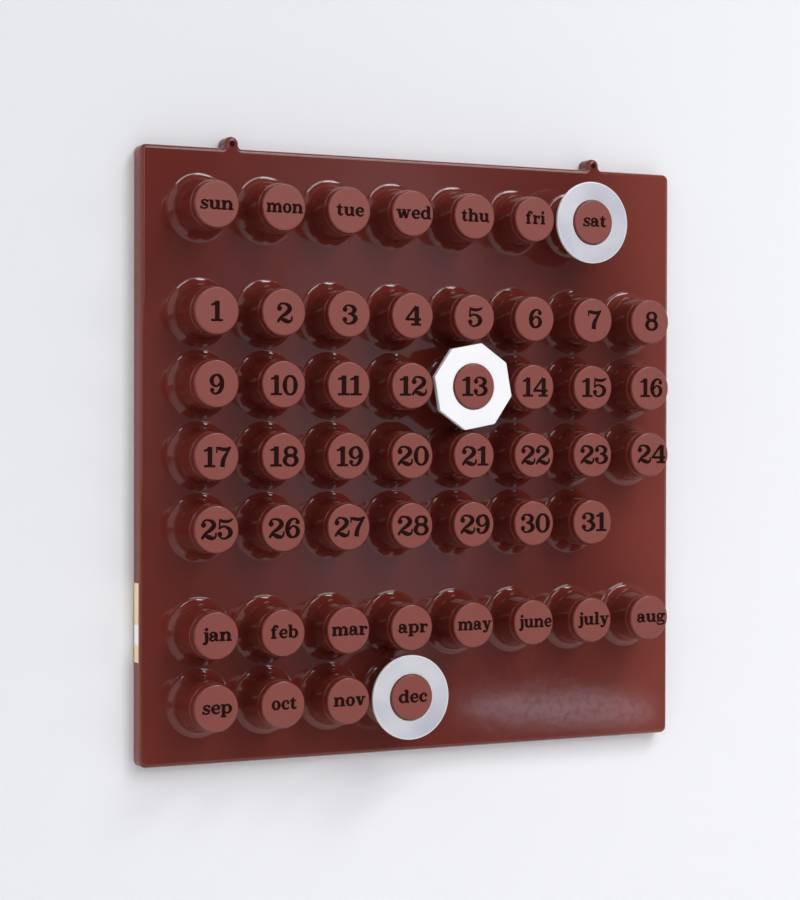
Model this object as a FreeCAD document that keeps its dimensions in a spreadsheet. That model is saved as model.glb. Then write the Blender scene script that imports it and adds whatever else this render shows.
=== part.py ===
import FreeCAD, Part
import math
import os
import Sketcher
from FreeCAD import Vector

# Perpetual wall calendar. A shallow moulded tray hangs by two ears from the wall, open side to the wall.
# Fifty round pegs stand on its front in three groups: seven weekdays, thirty-one dates, twelve months.
# Three marker rings, two round and one octagonal, lie over the pegs of the day that is shown.
# Frame: +Z up, +X to the right seen from the front, +Y into the wall.
# The front of the tray is at Y = 0 and the origin is midway between the two hanging holes.

# Driving dimensions in millimetres: alias, value, meaning.
DIMENSIONS = [
    ("panelDepth", 12.0, "tray, front face to open back rim"),
    ("sheet", 2.0, "wall thickness of the moulding"),
    ("cornerRound", 4.5, "radius of the tray's four corners, seen from the front"),
    ("frontRound", 2.6, "radius along the front edge of the tray and the ears"),
    ("earRadius", 4.8, "half width of a hanging ear and radius of its round top"),
    ("earRise", 3.1, "centre of a hanging hole above the top side of the tray"),
    ("earRootRound", 2.5, "concave radius where an ear meets the top side"),
    ("hangingHoleSpacing", 273.3, "centre to centre of the two hanging holes"),
    ("hangingHoleRadius", 1.9, "radius of a hanging hole"),
    ("pitch", 46.25, "peg to peg, along a row and from row to row within a group"),
    ("groupPitch", 67.4, "row to row across the gap between two groups"),
    ("leftMargin", 39.8, "left side of the tray to the axes of the first column"),
    ("rightMargin", 35.45, "axes of the last column to the right side of the tray"),
    ("topMargin", 39.6, "top side of the tray to the axes of the weekday row"),
    ("bottomMargin", 40.1, "axes of the last row to the bottom side of the tray"),
    ("pegHeight", 31.5, "front of the tray to a peg's printed face"),
    ("pegRadius", 15.3, "radius of a peg"),
    ("ringThickness", 4.2, "thickness of a marker ring"),
    ("ringInset", 1.2, "a peg's face to the front of the ring on it"),
    ("roundRingGap", 2.95, "a round marker ring to the next peg"),
    ("octagonGap", 1.15, "a corner of the octagonal ring to the next peg, before its rounding"),
    ("octagonRound", 1.5, "radius of the octagonal ring's corners"),
    ("ringClearance", 0.5, "radius of the hole in a marker ring, over the radius of a peg"),
    ("ringSeatGap", 0.3, "play left above a peg when a ring hangs on it"),
    ("labelThickness", 0.2, "thickness of the label on the tray's left side"),
    ("labelWidth", 7.6, "width of the label, across the side wall"),
    ("labelLength", 51.0, "length of the label, down the side wall"),
    ("labelInset", 1.4, "open back rim of the tray to the label"),
    ("labelDrop", 281.0, "top side of the tray to the top of the label"),
    ("overrun", 1.0, "how far a cut runs past the face it starts from"),
]

# Two places closer than this, in millimetres, count as the same place.
SAME_PLACE = 0.00001

# Angle in degrees by which the octagonal ring has turned on its peg, away from a corner straight up.
OCTAGON_TURN = 12.0
OCTAGON_SIDES = 8

# How many pegs stand in each row of a group.
PEG_COUNTS = {
    "weekday_pegs": (7,),
    "date_pegs": (8, 8, 8, 7),
    "month_pegs": (8, 4),
}

# How many steps of the pitch, and of the group pitch, the group's first row is below the weekday row.
STEP_COUNTS = {
    "weekday_pegs": (0, 0),
    "date_pegs": (0, 1),
    "month_pegs": (3, 2),
}

# Rows down and columns across from the first peg of a group to the peg that a ring hangs on.
RING_COUNTS = {
    "weekday_ring": ("weekday_pegs", 0, 6),
    "date_ring": ("date_pegs", 1, 4),
    "month_ring": ("month_pegs", 1, 3),
}
OCTAGONAL = ("date_ring",)

document = FreeCAD.newDocument("PerpetualCalendar")
sheet = document.addObject("Spreadsheet::Sheet", "sizes")
for row, (alias, value, meaning) in enumerate(DIMENSIONS, start=1):
    sheet.set("A%d" % row, alias)
    sheet.set("B%d" % row, str(value))
    sheet.set("C%d" % row, meaning)
    sheet.setAlias("B%d" % row, alias)
document.recompute()


def size(alias):
    """Value of one driving dimension."""
    return float(sheet.get(alias))


# Where a column and a row lie, and how large the tray is round them, as expressions on the sheet.
COLUMN_COUNT = max(max(counts) for counts in PEG_COUNTS.values())
PANEL_WIDTH = "(sizes.leftMargin + %d * sizes.pitch + sizes.rightMargin)" % (COLUMN_COUNT - 1)


def column_place(column):
    return "-%s / 2 + sizes.leftMargin + %d * sizes.pitch" % (PANEL_WIDTH, column)


def row_drop(group, row):
    pitches, groups = STEP_COUNTS[group]
    return "(sizes.topMargin + %d * sizes.pitch + %d * sizes.groupPitch)" % (pitches + row, groups)


def row_place(group, row):
    return "-sizes.earRise - " + row_drop(group, row)


PANEL_HEIGHT = "(%s + sizes.bottomMargin)" % row_drop("month_pegs", len(PEG_COUNTS["month_pegs"]) - 1)


def worked_out(expression):
    """Value in millimetres of an expression on the sheet."""
    result = sheet.evalExpression(expression.replace("sizes.", ""))
    return float(getattr(result, "Value", result))


def origin_plane(body, role):
    return next(feature for feature in body.Origin.OriginFeatures if feature.Role == role)


def new_body(label):
    body = document.addObject("PartDesign::Body", label)
    body.Label = label
    body.AllowCompound = True
    return body


def new_sketch(body, name, role):
    sketch = body.newObject("Sketcher::SketchObject", name)
    sketch.AttachmentSupport = [(origin_plane(body, role), "")]
    sketch.MapMode = "FlatFace"
    return sketch


def constrain(sketch, kind, *where, **bound):
    """Add a constraint; with to= its value follows an expression on the sheet."""
    value = (bound["start"],) if "start" in bound else ()
    index = sketch.addConstraint(Sketcher.Constraint(kind, *where, *value))
    if "to" in bound:
        sketch.setExpression("Constraints[%d]" % index, bound["to"])


def draw_loop(sketch, corners):
    """Closed run of lines through the corners, joined end to start."""
    first = sketch.GeometryCount
    count = len(corners)
    for index in range(count):
        start = Vector(*corners[index], 0)
        end = Vector(*corners[(index + 1) % count], 0)
        sketch.addGeometry(Part.LineSegment(start, end), False)
    for index in range(count):
        constrain(sketch, "Coincident", first + index, 2, first + (index + 1) % count, 1)
    return first


def draw_circle(sketch, radius, construction=False):
    """Circle about the sketch's origin, its radius an expression on the sheet."""
    start = worked_out(radius)
    circle = sketch.addGeometry(Part.Circle(Vector(0, 0, 0), Vector(0, 0, 1), start), construction)
    constrain(sketch, "Coincident", circle, 3, -1, 1)
    constrain(sketch, "Radius", circle, start=start, to=radius)
    return circle


def pad_backwards(body, name, sketch, length):
    """Pad from the front plane towards the wall."""
    pad = body.newObject("PartDesign::Pad", name)
    pad.Profile = sketch
    pad.Reversed = True
    pad.setExpression("Length", length)
    document.recompute()
    return pad


def fillet_edges(body, name, base, radius, wanted):
    """Round the edges of the base feature that the test picks."""
    names = []
    for index, edge in enumerate(base.Shape.Edges, start=1):
        if wanted(edge):
            names.append("Edge%d" % index)
    fillet = body.newObject("PartDesign::Fillet", name)
    fillet.Base = (base, names)
    fillet.setExpression("Radius", radius)
    document.recompute()
    return fillet


def runs_to_wall(edge):
    """True for a straight edge along Y."""
    if not isinstance(edge.Curve, Part.Line):
        return False
    return abs(edge.Curve.Direction.y) > math.cos(math.radians(1))


def near(a, b):
    return abs(a - b) < SAME_PLACE


# The tray: a block the size of the panel with two ears, rounded, then hollowed to an even wall.
def make_tray():
    body = new_body("panel_tray")
    half_width = worked_out(PANEL_WIDTH) / 2
    top = -size("earRise")
    bottom = top - worked_out(PANEL_HEIGHT)

    outline = new_sketch(body, "panel_outline", "XZ_Plane")
    corners = [(-half_width, bottom), (half_width, bottom), (half_width, top), (-half_width, top)]
    draw_loop(outline, corners)
    for index, kind in enumerate(("Horizontal", "Vertical", "Horizontal", "Vertical")):
        constrain(outline, kind, index)
    constrain(outline, "DistanceX", 3, 1, -1, 1, start=half_width, to=PANEL_WIDTH + " / 2")
    constrain(outline, "DistanceY", 3, 1, -1, 1, start=-top, to="sizes.earRise")
    constrain(outline, "DistanceX", 0, 1, 0, 2, start=2 * half_width, to=PANEL_WIDTH)
    constrain(outline, "DistanceY", 1, 1, 1, 2, start=top - bottom, to=PANEL_HEIGHT)
    pad_backwards(body, "panel_block", outline, "sizes.panelDepth")

    # One ear: straight cheeks from inside the top side up to a half round about the hanging hole.
    ear_outline = new_sketch(body, "ear_outline", "XZ_Plane")
    hole_x = size("hangingHoleSpacing") / 2
    reach = size("earRadius")
    foot = top - size("sheet")
    left_cheek, right_cheek = hole_x - reach, hole_x + reach
    path = [(left_cheek, 0), (left_cheek, foot), (right_cheek, foot), (right_cheek, 0)]
    for start, end in zip(path, path[1:]):
        ear_outline.addGeometry(Part.LineSegment(Vector(*start, 0), Vector(*end, 0)), False)
    crown = Part.Circle(Vector(hole_x, 0, 0), Vector(0, 0, 1), reach)
    ear_outline.addGeometry(Part.ArcOfCircle(crown, 0, math.pi), False)
    for first, first_end, second, second_end in ((0, 2, 1, 1), (1, 2, 2, 1)):
        constrain(ear_outline, "Coincident", first, first_end, second, second_end)
    constrain(ear_outline, "Vertical", 0)
    constrain(ear_outline, "Horizontal", 1)
    constrain(ear_outline, "Tangent", 2, 2, 3, 1)
    constrain(ear_outline, "Tangent", 0, 1, 3, 2)
    constrain(ear_outline, "PointOnObject", 3, 3, -1)
    constrain(ear_outline, "DistanceX", -1, 1, 3, 3, start=hole_x, to="sizes.hangingHoleSpacing / 2")
    constrain(ear_outline, "Radius", 3, start=reach, to="sizes.earRadius")
    constrain(ear_outline, "DistanceY", 0, 2, -1, 1, start=-foot, to="sizes.earRise + sizes.sheet")
    ear = pad_backwards(body, "ear_block", ear_outline, "sizes.panelDepth")
    ears = body.newObject("PartDesign::Mirrored", "both_ears")
    ears.Originals = [ear]
    ears.MirrorPlane = (origin_plane(body, "YZ_Plane"), [""])
    body.Tip = ears
    document.recompute()

    def at_ear_root(edge):
        point = edge.Vertexes[0].Point
        cheek = abs(abs(point.x) - hole_x)
        return runs_to_wall(edge) and near(point.z, top) and near(cheek, reach)

    def at_corner(edge):
        point = edge.Vertexes[0].Point
        on_side = near(abs(point.x), half_width)
        return runs_to_wall(edge) and on_side and (near(point.z, top) or near(point.z, bottom))

    def on_front(edge):
        return near(edge.BoundBox.YMin, 0) and near(edge.BoundBox.YMax, 0)

    roots = fillet_edges(body, "ear_roots", ears, "sizes.earRootRound", at_ear_root)
    rounded = fillet_edges(body, "corners", roots, "sizes.cornerRound", at_corner)

    # The even wall: everything inside it is taken away through the open back.
    shell = body.newObject("PartDesign::Thickness", "even_wall")
    depth = size("panelDepth")
    back = []
    for index, face in enumerate(rounded.Shape.Faces, start=1):
        if near(face.BoundBox.YMin, depth) and near(face.BoundBox.YMax, depth):
            back.append("Face%d" % index)
    shell.Base = (rounded, back)
    shell.Join = "Intersection"
    shell.Reversed = True
    shell.setExpression("Value", "sizes.sheet")
    document.recompute()
    front = fillet_edges(body, "front_edge", shell, "sizes.frontRound", on_front)

    # Hanging holes through the front wall of the ears, for two round-headed screws or nails.
    hole_sketch = new_sketch(body, "hanging_holes", "XZ_Plane")
    for index, side in enumerate((-1, 1)):
        centre = Vector(side * hole_x, 0, 0)
        hole_sketch.addGeometry(Part.Circle(centre, Vector(0, 0, 1), size("hangingHoleRadius")), False)
        constrain(hole_sketch, "Radius", index, start=size("hangingHoleRadius"), to="sizes.hangingHoleRadius")
    constrain(hole_sketch, "PointOnObject", 0, 3, -1)
    constrain(hole_sketch, "Symmetric", 0, 3, 1, 3, -1, 1)
    constrain(hole_sketch, "DistanceX", 0, 3, 1, 3, start=2 * hole_x, to="sizes.hangingHoleSpacing")
    holes = body.newObject("PartDesign::Pocket", "hanging_hole_cut")
    holes.Profile = hole_sketch
    holes.setExpression("Length", "sizes.sheet + sizes.overrun")
    document.recompute()
    print("hanging holes took", round(front.Shape.Volume - holes.Shape.Volume, 2), "mm3")
    return body


# A group of pegs: in each row a round post on the front of the tray, repeated along the row.
def make_peg_group(name, counts):
    body = new_body(name)
    for row, count in enumerate(counts):
        outline = new_sketch(body, "peg_outline", "XZ_Plane")
        drop = row * size("pitch")
        centre = Vector(0, -drop, 0)
        peg_circle = Part.Circle(centre, Vector(0, 0, 1), size("pegRadius"))
        outline.addGeometry(peg_circle, False)
        constrain(outline, "Radius", 0, start=size("pegRadius"), to="sizes.pegRadius")
        if row:
            constrain(outline, "PointOnObject", 0, 3, -2)
            constrain(outline, "DistanceY", 0, 3, -1, 1, start=drop, to="%d * sizes.pitch" % row)
        else:
            constrain(outline, "Coincident", 0, 3, -1, 1)
        peg = body.newObject("PartDesign::Pad", "peg")
        peg.Profile = outline
        peg.setExpression("Length", "sizes.pegHeight")
        document.recompute()
        pegs = body.newObject("PartDesign::LinearPattern", "peg_row")
        pegs.Originals = [peg]
        pegs.Direction = (origin_plane(body, "X_Axis"), [""])
        pegs.Mode = "Spacing"
        pegs.setExpression("Offset", "sizes.pitch")
        pegs.Occurrences = count
        body.Tip = pegs
        document.recompute()
    body.setExpression("Placement.Base.x", column_place(0))
    body.setExpression("Placement.Base.z", row_place(name, 0))
    document.recompute()
    return body


# A marker ring hangs on its peg, so its axis is lower than the peg's by the play in its hole.
def place_ring(body, group, row, column):
    body.setExpression("Placement.Base.x", column_place(column))
    body.setExpression("Placement.Base.y", "-(sizes.pegHeight - sizes.ringInset)")
    drop = "(sizes.ringClearance - sizes.ringSeatGap)"
    body.setExpression("Placement.Base.z", row_place(group, row) + " - " + drop)
    document.recompute()


# The rings go round a peg with a clearance, and are as large as the next pegs let them be.
RING_BORE_RADIUS = "(sizes.pegRadius + sizes.ringClearance)"
ROUND_RING_RADIUS = "(sizes.pitch - sizes.pegRadius - sizes.roundRingGap)"
OCTAGON_RADIUS = "(sizes.pitch - sizes.pegRadius - sizes.octagonGap)"


def make_round_ring(name):
    body = new_body(name)
    sketch = new_sketch(body, "ring_outline", "XZ_Plane")
    draw_circle(sketch, ROUND_RING_RADIUS)
    draw_circle(sketch, RING_BORE_RADIUS)
    pad_backwards(body, "ring", sketch, "sizes.ringThickness")
    return body


def make_octagon_ring(name):
    body = new_body(name)
    sketch = new_sketch(body, "ring_outline", "XZ_Plane")
    radius = worked_out(OCTAGON_RADIUS)
    corners = []
    for corner in range(OCTAGON_SIDES):
        angle = math.radians(90 - OCTAGON_TURN + 360 * corner / OCTAGON_SIDES)
        corners.append((radius * math.cos(angle), radius * math.sin(angle)))
    draw_loop(sketch, corners)
    circle = draw_circle(sketch, OCTAGON_RADIUS, construction=True)
    for corner in range(OCTAGON_SIDES):
        constrain(sketch, "PointOnObject", corner, 1, circle)
    for side in range(1, OCTAGON_SIDES):
        constrain(sketch, "Equal", 0, side)
    tilt = math.radians(180 + 180 / OCTAGON_SIDES - OCTAGON_TURN)
    constrain(sketch, "Angle", 0, start=tilt)
    draw_circle(sketch, RING_BORE_RADIUS)
    pad = pad_backwards(body, "ring", sketch, "sizes.ringThickness")
    fillet_edges(body, "ring_corners", pad, "sizes.octagonRound", runs_to_wall)
    return body


# The label: a thin strip on the tray's left side, near the open back rim.
def make_label():
    label = document.addObject("Part::Box", "side_label")
    label.Label = "side_label"
    label.setExpression("Length", "sizes.labelThickness")
    label.setExpression("Width", "sizes.labelWidth")
    label.setExpression("Height", "sizes.labelLength")
    label.setExpression("Placement.Base.x", "-" + PANEL_WIDTH + " / 2 - sizes.labelThickness")
    label.setExpression("Placement.Base.y", "sizes.panelDepth - sizes.labelInset - sizes.labelWidth")
    label.setExpression("Placement.Base.z", "-(sizes.earRise + sizes.labelDrop + sizes.labelLength)")
    document.recompute()
    return label


parts = [make_tray(), make_label()]
for group, counts in PEG_COUNTS.items():
    parts.append(make_peg_group(group, counts))
for ring_name, (group, row, column) in RING_COUNTS.items():
    ring = make_octagon_ring(ring_name) if ring_name in OCTAGONAL else make_round_ring(ring_name)
    place_ring(ring, group, row, column)
    parts.append(ring)
document.recompute()

for item in document.Objects:
    if "Invalid" in item.State or "Error" in item.State:
        raise RuntimeError("%s did not compute: %s" % (item.Name, item.State))
for part in parts:
    if part.Shape.isNull() or not part.Shape.isValid():
        raise RuntimeError("%s has no valid shape" % part.Label)

os.makedirs("parts", exist_ok=True)
for part in parts:
    part.Shape.exportStep("parts/%s.step" % part.Label)
    solids = len(part.Shape.Solids)
    box = part.Shape.BoundBox
    print("%s: %d solids, %.0f mm3, X %.1f to %.1f, Y %.1f to %.1f, Z %.1f to %.1f" % (
        part.Label, solids, part.Shape.Volume, box.XMin, box.XMax, box.YMin, box.YMax, box.ZMin, box.ZMax))
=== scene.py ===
import math
import bmesh
import bpy
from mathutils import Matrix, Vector


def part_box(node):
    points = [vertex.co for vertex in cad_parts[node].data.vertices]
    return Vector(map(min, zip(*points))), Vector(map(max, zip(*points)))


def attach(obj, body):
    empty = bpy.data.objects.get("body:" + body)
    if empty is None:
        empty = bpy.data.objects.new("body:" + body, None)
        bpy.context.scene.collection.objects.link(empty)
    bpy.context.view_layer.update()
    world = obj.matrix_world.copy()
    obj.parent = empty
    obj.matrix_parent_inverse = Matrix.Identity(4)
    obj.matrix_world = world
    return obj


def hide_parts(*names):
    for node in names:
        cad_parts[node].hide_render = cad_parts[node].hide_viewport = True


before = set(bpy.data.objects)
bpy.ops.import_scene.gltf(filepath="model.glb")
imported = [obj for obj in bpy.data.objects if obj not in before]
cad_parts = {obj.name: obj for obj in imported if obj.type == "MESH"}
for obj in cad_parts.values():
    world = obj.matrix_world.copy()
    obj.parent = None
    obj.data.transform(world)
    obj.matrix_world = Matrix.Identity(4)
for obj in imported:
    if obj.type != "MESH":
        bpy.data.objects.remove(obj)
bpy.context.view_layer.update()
print("stage: frame loaded,", len(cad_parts), "nodes")

mm = 0.001

# how near counts as the same place, and how straight as facing the front or back
near = {"plane": 0.02 * mm, "level": 0.01 * mm, "seam": 0.005 * mm, "point": 0.001 * mm}
squarely = 0.999
smoothUnder = math.radians(40)


# selecting and shaping

def letGo():
    if bpy.context.object and bpy.context.object.mode != "OBJECT":
        bpy.ops.object.mode_set(mode="OBJECT")
    bpy.ops.object.select_all(action="DESELECT")


def takeUp(piece):
    letGo()
    bpy.context.view_layer.objects.active = piece
    piece.select_set(True)


def startEdit(piece, kind):
    takeUp(piece)
    bpy.ops.object.mode_set(mode="EDIT")
    bpy.ops.mesh.select_mode(type=kind)
    bpy.ops.mesh.select_all(action="DESELECT")


def endEdit():
    bpy.ops.object.mode_set(mode="OBJECT")


def pick(layer, test):
    # selects the vertices, edges or faces of the mesh in edit mode that pass the test
    shape = bmesh.from_edit_mesh(bpy.context.object.data)
    bpy.ops.mesh.select_all(action="DESELECT")
    for part in getattr(shape, layer):
        if test(part):
            part.select_set(True)
    shape.select_flush_mode()
    bmesh.update_edit_mesh(bpy.context.object.data)


def middle(part):
    return sum((v.co for v in part.verts), Vector()) / len(part.verts)


def openEdgeAt(depth):
    # a test for the open edges that lie in one upright plane
    return lambda e: e.is_boundary and all(abs(v.co.y - depth) < near["plane"] for v in e.verts)


def settle(piece):
    # the finished piece sits at the origin, with its place in its mesh
    takeUp(piece)
    bpy.ops.object.transform_apply(location=True, rotation=True, scale=True)


def copyTo(piece, across, up):
    takeUp(piece)
    bpy.ops.object.duplicate(linked=False)
    bpy.ops.transform.translate(value=(across, 0, up))
    return bpy.context.object


def joinAll(pieces, name):
    letGo()
    for piece in pieces:
        piece.select_set(True)
    bpy.context.view_layer.objects.active = pieces[0]
    bpy.ops.object.join()
    joined = bpy.context.object
    joined.name = name
    joined.data.name = name
    settle(joined)
    return joined


def turned(name, rings, corners, closeEnd=False):
    # a round form grown ring by ring round the Y axis: each ring is (radius, depth) in mm
    letGo()
    radius, depth = rings[0]
    bpy.ops.mesh.primitive_circle_add(vertices=corners, radius=radius * mm,
                                      location=(0, depth * mm, 0), rotation=(math.pi / 2, 0, 0))
    form = bpy.context.object
    form.name = name
    settle(form)
    bpy.ops.object.mode_set(mode="EDIT")
    bpy.ops.mesh.select_mode(type="EDGE")
    bpy.ops.mesh.select_all(action="SELECT")
    for nextRadius, nextDepth in rings[1:]:
        bpy.ops.mesh.extrude_edges_move(
            TRANSFORM_OT_translate={"value": (0, (nextDepth - depth) * mm, 0)})
        grow = nextRadius / radius
        bpy.ops.transform.resize(value=(grow, 1, grow), center_override=(0, nextDepth * mm, 0))
        radius, depth = nextRadius, nextDepth
    if closeEnd:
        bpy.ops.mesh.edge_face_add()
    endEdit()
    return form


def roundTurn(centre, radius, start, end, steps):
    # the points of an arc in a ring profile: 0 degrees points away from the axis, 90 to the back
    points = []
    for step in range(steps + 1):
        angle = math.radians(start + (end - start) * step / steps)
        points.append((centre[0] + radius * math.cos(angle), centre[1] + radius * math.sin(angle)))
    return points


# shader work

class Flow:
    # one socket's value, so that shader maths is written as an expression
    def __init__(self, finish, socket):
        self.finish = finish
        self.socket = socket

    def maths(self, operation, first, second):
        return self.finish.node("ShaderNodeMath", {"operation": operation}, {0: first, 1: second})

    def __add__(self, other):
        return self.maths("ADD", self, other)

    def __radd__(self, other):
        return self.maths("ADD", other, self)

    def __sub__(self, other):
        return self.maths("SUBTRACT", self, other)

    def __rsub__(self, other):
        return self.maths("SUBTRACT", other, self)

    def __mul__(self, other):
        return self.maths("MULTIPLY", self, other)

    def __rmul__(self, other):
        return self.maths("MULTIPLY", other, self)

    def __gt__(self, other):
        return self.maths("GREATER_THAN", self, other)


class Finish:
    # a material and its nodes
    def __init__(self, name):
        self.material = bpy.data.materials.new(name)
        self.material.use_nodes = True
        self.tree = self.material.node_tree
        self.tree.nodes.clear()
        self.place = self.node("ShaderNodeTexCoord", out="Object")

    def node(self, kind, settings=None, sockets=None, out=0):
        made = self.tree.nodes.new(kind)
        for key, value in (settings or {}).items():
            setattr(made, key, value)
        for key, value in (sockets or {}).items():
            if isinstance(value, Flow):
                self.tree.links.new(value.socket, made.inputs[key])
            else:
                made.inputs[key].default_value = value
        return Flow(self, made.outputs[out]) if made.outputs else None

    def axis(self, letter):
        return self.node("ShaderNodeSeparateXYZ", None, {"Vector": self.place}, out=letter)

    def noise(self, scale, detail):
        return self.node("ShaderNodeTexNoise", None, {
            "Vector": self.place, "Scale": scale, "Detail": detail})

    def ranged(self, value, low, high):
        # 0 at low and below, 1 at high and beyond, with a smooth change between them
        return self.node("ShaderNodeMapRange", {"interpolation_type": "SMOOTHSTEP"}, {
            "Value": value, "From Min": low, "From Max": high})

    def clouds(self, scale, detail, low=0.3, high=0.7):
        return self.ranged(self.noise(scale, detail), low, high)

    def mixed(self, factor, first, second):
        return self.node("ShaderNodeMix", {"data_type": "RGBA"}, {
            "Factor": factor, 6: first, 7: second}, out=2)

    def between(self, factor, tones):
        return self.mixed(factor, solid(*tones[0]), solid(*tones[1]))

    def bump(self, height, strength, distance):
        return self.node("ShaderNodeBump", None, {
            "Height": height, "Strength": strength, "Distance": distance})

    def close(self, sockets):
        shader = self.node("ShaderNodeBsdfPrincipled", None, sockets)
        self.node("ShaderNodeOutputMaterial", None, {"Surface": shader})
        return self.material


def screen(red, green, blue):
    # a colour as it shows on screen, turned into Blender's linear values
    def line(value):
        value /= 255
        return value / 12.92 if value <= 0.04045 else ((value + 0.055) / 1.055) ** 2.4
    return (line(red), line(green), line(blue))


def solid(red, green, blue):
    return (*screen(red, green, blue), 1)


def dress(piece, material):
    piece.data.materials.clear()
    piece.data.materials.append(material)


# the camera, fitted to the photograph's ears, outline and peg faces

cameraLook = {
    "place": (-0.68804, -1.35902, -0.18158),
    "turn": (89.3322, -0.1371, -26.3565),
    "lens": 89.971, "sensor": 36, "nearest": 0.01,
}


def setCamera():
    letGo()
    bpy.ops.object.camera_add(location=cameraLook["place"],
                              rotation=[math.radians(a) for a in cameraLook["turn"]])
    camera = bpy.context.object
    camera.name = "camera"
    camera.data.lens = cameraLook["lens"]
    camera.data.sensor_width = cameraLook["sensor"]
    camera.data.clip_start = cameraLook["nearest"]
    bpy.context.scene.camera = camera


setCamera()
print("stage: camera set")


# the moulding: tray, ears and pegs in one skin
# sizes in mm, from the point midway between the hanging holes on the sheet's front

mouldingLook = {
    "halfWidth": 199.499, "top": -3.1, "bottom": -402.599, "depth": 11.999, "sheet": 2.0,
    "corner": 4.5, "cornerSteps": 6, "front": 2.6, "frontSteps": 5, "frontInset": 0.12,
    "earAt": 136.65, "earRadius": 4.78, "earSteps": 20, "earRoot": 2.5, "rootSteps": 5,
    "holeRadius": 1.9, "holeCorners": 24,
    "pitch": 46.25, "firstColumn": -159.7,
    "weekdayRow": -42.7, "dateRow": -110.1, "monthRow": -316.25,
    "weekdays": [7], "dates": [8, 8, 8, 7], "months": [8, 4],
    "corners": 48, "sideCuts": 11, "lift": 1,
    "manySides": 20,  # only the sheet's own face has more corners
}

# leans are the flare's slopes in degrees, and sweeps the radii from each to the next;
# the last sweep is worked out, so that it ends upright at the foot
pegLook = {
    "height": 31.44, "face": 15.3, "edge": 1.1, "edgeSteps": 3, "faceInset": 0.8,
    "foot": 16.8, "flare": 5.9, "rimTurn": 0.6, "rimSteps": 2, "rimGuard": 0.2,
    "leans": (21.5, 27.0, 60.0), "sweeps": (18.3, 6.0), "sweepSteps": 3,
    "collar": 5.4, "ledge": 16.0,
    "ledgeTurn": ((0.05, 1.2), (0.02, 0.3), (-0.18, 0.04)),
    "collarTurn": ((0.12, 0), (0, -0.14), (0, -0.8)),
    "wall": 2.0, "bowlSteps": 4, "innerEdge": 1.2, "innerSteps": 2,
}


def pegAt(firstRow, column, row):
    return (mouldingLook["firstColumn"] + column * mouldingLook["pitch"],
            firstRow - row * mouldingLook["pitch"])


def pegPlaces(firstRow, counts):
    return [pegAt(firstRow, column, row)
            for row, count in enumerate(counts) for column in range(count)]


def pegTile(name, rings, depth):
    # one peg's skin with its square of the sheet, which is bridged at a step and then laid flat
    peg = turned(name, rings, mouldingLook["corners"], closeEnd=True)
    letGo()
    half = mouldingLook["pitch"] / 2
    lift = mouldingLook["lift"]
    bpy.ops.mesh.primitive_circle_add(vertices=4, radius=half * math.sqrt(2) * mm,
                                      location=(0, (depth + lift) * mm, 0),
                                      rotation=(math.pi / 2, math.pi / 4, 0))
    square = bpy.context.object
    settle(square)
    bpy.ops.object.mode_set(mode="EDIT")
    bpy.ops.mesh.select_mode(type="EDGE")
    bpy.ops.mesh.select_all(action="SELECT")
    bpy.ops.mesh.subdivide(number_cuts=mouldingLook["sideCuts"])
    endEdit()
    tile = joinAll([peg, square], name)
    startEdit(tile, "EDGE")
    pick("edges", lambda e: e.is_boundary or e.is_wire)
    bpy.ops.mesh.bridge_edge_loops()
    bpy.ops.mesh.select_mode(type="VERT")
    pick("verts", lambda v: abs(v.co.y - (depth + lift) * mm) < near["level"])
    bpy.ops.transform.translate(value=(0, -lift * mm, 0))
    endEdit()
    return tile


def outerRings():
    p = pegLook
    # out of the sheet by a short turn, a shallow band that catches the light, a bowl and a throat
    rim = p["foot"] + p["flare"]
    rings = [(rim + p["rimGuard"], 0)]
    rings += roundTurn((rim, -p["rimTurn"]), p["rimTurn"], 90, 90 + p["leans"][0], p["rimSteps"])
    for start, end, sweep in zip(p["leans"], p["leans"][1:] + (90,), p["sweeps"] + (0,)):
        across, depth = rings[-1]
        slope = math.radians(start)
        radius = sweep or (across - p["foot"]) / (1 - math.sin(slope))
        centre = (across + radius * math.sin(slope), depth - radius * math.cos(slope))
        rings += roundTurn(centre, radius, 90 + start, 90 + end, p["sweepSteps"])[1:]
    ledgeAt = p["collar"] - p["height"]
    rings += [(p["ledge"] + out, ledgeAt + back) for out, back in p["ledgeTurn"]]
    rings += [(p["face"] + out, ledgeAt + back) for out, back in p["collarTurn"]]
    edge = p["edge"]
    rings += roundTurn((p["face"] - edge, edge - p["height"]), edge, 0, -90, p["edgeSteps"])
    rings.append((p["face"] - edge - p["faceInset"], -p["height"]))
    return rings


def innerRings():
    p = pegLook
    wall = p["wall"]
    rim = p["foot"] + p["flare"]
    rings = [(rim + p["rimGuard"], wall)]
    rings += roundTurn((rim, -p["flare"]), p["flare"] + wall, 90, 180, p["bowlSteps"])
    edge = p["innerEdge"]
    centre = (p["face"] - wall - edge, wall - p["height"] + edge)
    rings += roundTurn(centre, edge, 0, -90, p["innerSteps"])
    return rings


def earShape(side):
    # the ear's place, how far out its roots end, and how far below level its own arc goes
    m = mouldingLook
    rise = -m["top"]
    reach = m["earRadius"] + m["earRoot"]
    foot = math.sqrt(reach ** 2 - (rise - m["earRoot"]) ** 2)
    lean = math.degrees(math.atan2(rise - m["earRoot"], foot))
    return side * m["earAt"], foot, lean


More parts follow.
